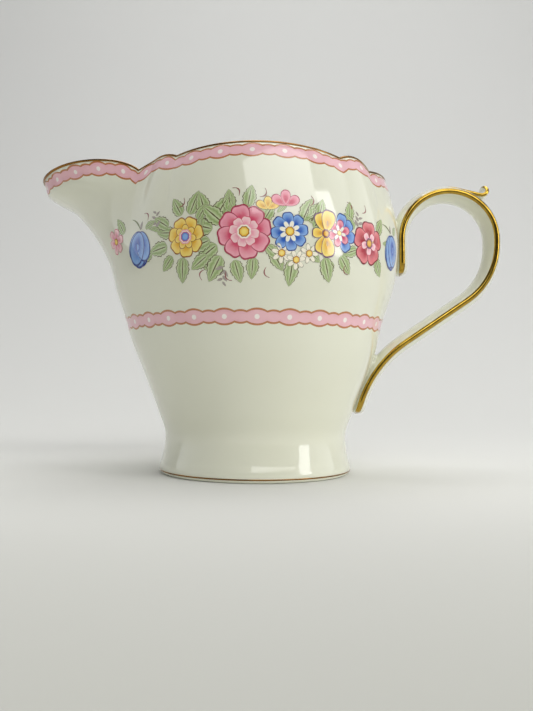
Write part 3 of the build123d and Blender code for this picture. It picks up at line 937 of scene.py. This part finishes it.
enamel = finish("fired_enamel", enamel_surface, **gloss)
for name, side in (("front_spray", 270), ("back_spray", 90)):
    laid.clear()
    garland(side)
    bpy.ops.object.select_all(action="DESELECT")
    for copy in laid:
        copy.select_set(True)
    bpy.context.view_layer.objects.active = laid[0]
    bpy.ops.object.join()
    spray = bpy.context.object
    spray.name = spray.data.name = name
    spray.data.materials.append(enamel)
    spray.data.polygons.foreach_set("use_smooth", [True] * len(spray.data.polygons))
    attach(spray, "root")
    print(name, len(spray.data.polygons), "faces")
for drawn in motifs.values():
    bpy.data.objects.remove(drawn)

# %% [markdown]
# ## Table, light and camera
# A pale sheet runs from under the jug up behind it, darker in front of the jug as a painted shade.
# One large soft lamp stands high in front, for the pane of light on the bowl, one to the right, and
# the world fills in the rest.

# %% Sheet
def sheet_surface(tree):
    place = node(tree, "ShaderNodeTexCoord", {}, out=3)
    split = tree.nodes.new("ShaderNodeSeparateXYZ")
    tree.links.new(place.socket, split.inputs[0])
    depth = Shade(tree, split.outputs[1])
    near = node(tree, "ShaderNodeMapRange", {}, depth, -0.2, -0.03, 0.0, 1.0)
    far = node(tree, "ShaderNodeMapRange", {}, depth, 0.1, 0.9, 0.0, 1.0)
    # The table turns darker grey toward the front: a painted shade on the sheet.
    table = blend_colour(tree, near, tint(176, 176, 166), tint(226, 226, 221))
    return {"Base_Color": blend_colour(tree, far, table, tint(226, 226, 223))}


sheet_depth, sheet_front, bend_size = 0.18, -1.2, 0.8
across_sheet = np.linspace(-2.6, 2.6, 3)
bend_swing = np.linspace(0, pi / 2, 16)
side_line = [(sheet_front, 0.0), *((sheet_depth + bend_size * sin(t), bend_size * (1 - cos(t))) for t in bend_swing),
             (sheet_depth + bend_size, 2.2)]
bpy.ops.object.select_all(action="DESELECT")
bpy.ops.mesh.primitive_grid_add(x_subdivisions=2, y_subdivisions=len(side_line) - 1, size=1)
sheet = bpy.context.object
sheet.name = "table_sheet"
for vertex in sheet.data.vertices:
    step = round((vertex.co.y + 0.5) * (len(side_line) - 1))
    vertex.co = (vertex.co.x * 5.2, *side_line[step])
sheet.data.polygons.foreach_set("use_smooth", [True] * len(sheet.data.polygons))
sheet.data.materials.append(finish("pale_sheet", sheet_surface, Roughness=0.9))


# %% Lamps and world
def lamp(name, place, aim, width, height, power, colour=(1, 1, 1)):
    bpy.ops.object.light_add(type="AREA", location=place)
    made = bpy.context.object
    made.name = name
    made.data.shape, made.data.size, made.data.size_y = "RECTANGLE", width, height
    made.data.energy, made.data.color = power, colour
    made.rotation_euler = (-(made.location - aim)).to_track_quat("-Z", "Y").to_euler()
    return made


jug_middle = sum((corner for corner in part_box("body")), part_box("body")[0] * 0) / 2
lamp("window_lamp", (0.36, -0.9, 0.8), jug_middle, 1.2, 0.8, 7.9)
lamp("right_lamp", (1.0, -0.55, 0.35), jug_middle, 0.3, 0.8, 3.4)
lamp("top_lamp", (0.1, 0.2, 1.3), jug_middle, 1.0, 1.0, 7.8)

world = bpy.data.worlds.new("pale_room")
world.use_nodes = True
background = world.node_tree.nodes["Background"]
sky = world.node_tree
facing = sky.nodes.new("ShaderNodeSeparateXYZ")
sky.links.new(sky.nodes.new("ShaderNodeTexCoord").outputs["Generated"], facing.inputs[0])
dim_front = node(sky, "ShaderNodeMapRange", {}, Shade(sky, facing.outputs[1]) - Shade(sky, facing.outputs[2]) * 0.9,
                 -1.0, 0.3, 1.0, 0.0)
room = blend_colour(sky, dim_front, (0.93, 0.95, 1.0, 1), (0.05, 0.05, 0.05, 1))
seen = node(sky, "ShaderNodeLightPath", {})
sky.links.new(blend_colour(sky, seen, room, (0.56, 0.56, 0.55, 1)).socket, background.inputs["Color"])
background.inputs["Strength"].default_value = 1.3
bpy.context.scene.world = world

# %% Camera
camera_data = bpy.data.cameras.new("camera")
camera_data.lens, camera_data.sensor_width = 37.77, 36.0
camera_data.clip_start = 0.005
camera = bpy.data.objects.new("camera", camera_data)
bpy.context.scene.collection.objects.link(camera)
camera.location = (-0.00064, -0.209, 0.0255)
camera.rotation_euler = Euler((pi / 2 + 0.0326, -0.0085, -0.0171), "XYZ")
bpy.context.scene.camera = camera
bpy.context.scene.view_settings.view_transform = "Standard"
